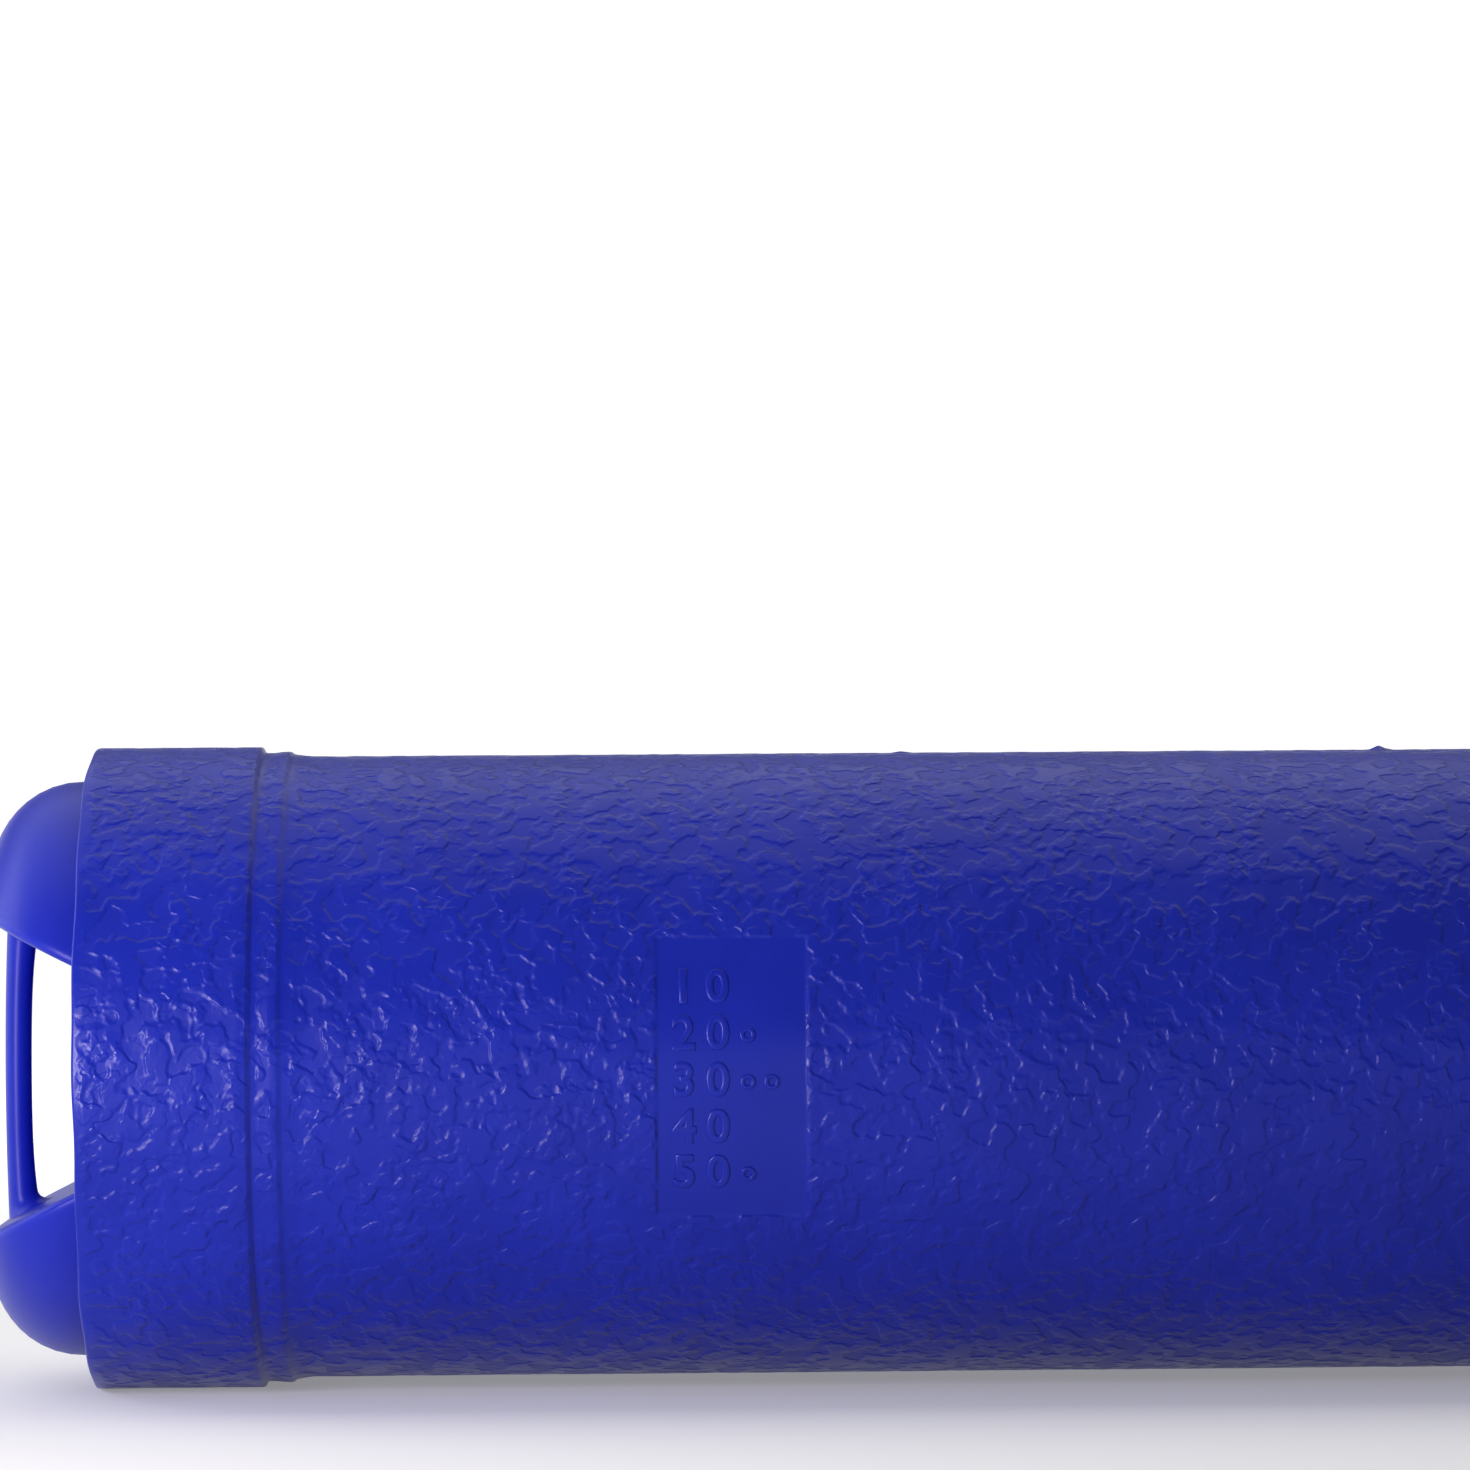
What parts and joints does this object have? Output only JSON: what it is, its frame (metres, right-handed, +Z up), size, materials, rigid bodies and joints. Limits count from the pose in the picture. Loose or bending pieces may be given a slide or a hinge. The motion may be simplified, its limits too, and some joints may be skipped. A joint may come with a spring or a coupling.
{
  "type": "telescopic poster tube",
  "caption": "Blow-moulded telescopic tube for rolled sheets: a grained outer tube with a collar, and an inner tube that slides in it, each with a notched, barred end.",
  "frame": {"origin": "centre of the base of the closed tube's bounding box, on the surface it lies on", "axes": "+X along the tube from the inner tube's closed end to the outer tube's closed end, +Z up, -Y the side with the marks panel"},
  "size_m": [0.4896, 0.0928, 0.0928],
  "materials": {
    "grained_plastic": "deep blue polyethylene with a moulded leather grain",
    "satin_plastic": "deep blue polyethylene, smooth and satin"
  },
  "bodies": {
    "outer_section": {"outer_tube": "grained_plastic"},
    "inner_section": {"inner_tube": "satin_plastic"}
  },
  "joints": [
    {"name": "inner_slide", "type": "slide", "parent": "outer_section", "child": "inner_section", "axis": [-1, 0, 0], "range_m": [0, 0.46]}
  ]
}
